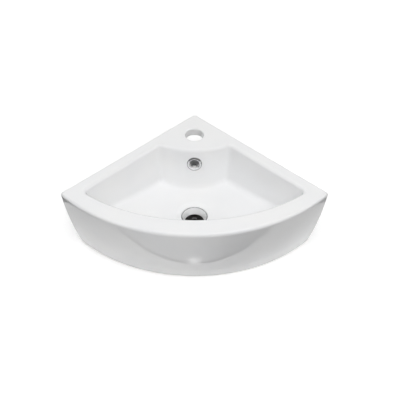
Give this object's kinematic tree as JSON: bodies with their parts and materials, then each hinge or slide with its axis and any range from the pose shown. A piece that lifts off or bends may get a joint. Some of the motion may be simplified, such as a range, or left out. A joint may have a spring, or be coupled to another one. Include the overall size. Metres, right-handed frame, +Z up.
{
  "type": "corner basin",
  "caption": "Wall-hung ceramic basin for a room's corner, with a bowed front, a tap hole, an overflow ring and a slotted waste.",
  "frame": {"origin": "the room's corner at the height of the rim: the two wall planes and the top of the deck meet there", "axes": "+Z up, -Y towards the front of the basin, +X to the right seen from the front"},
  "size_m": [0.4612, 0.3323, 0.175],
  "materials": {
    "basin": null,
    "overflow_ring": "bright chrome on plastic",
    "waste_body": "bright chrome on brass",
    "waste_funnel_seal": "soft black rubber",
    "waste_rubber_washer": "soft black rubber",
    "waste_slip_washer": "plain white polyethylene",
    "waste_back_nut": "plain hot-pressed brass"
  },
  "bodies": {
    "root": {"basin": "basin", "overflow_ring": "overflow_ring", "waste_body": "waste_body", "waste_funnel_seal": "waste_funnel_seal", "waste_rubber_washer": "waste_rubber_washer", "waste_slip_washer": "waste_slip_washer", "waste_back_nut": "waste_back_nut"}
  },
  "joints": []
}
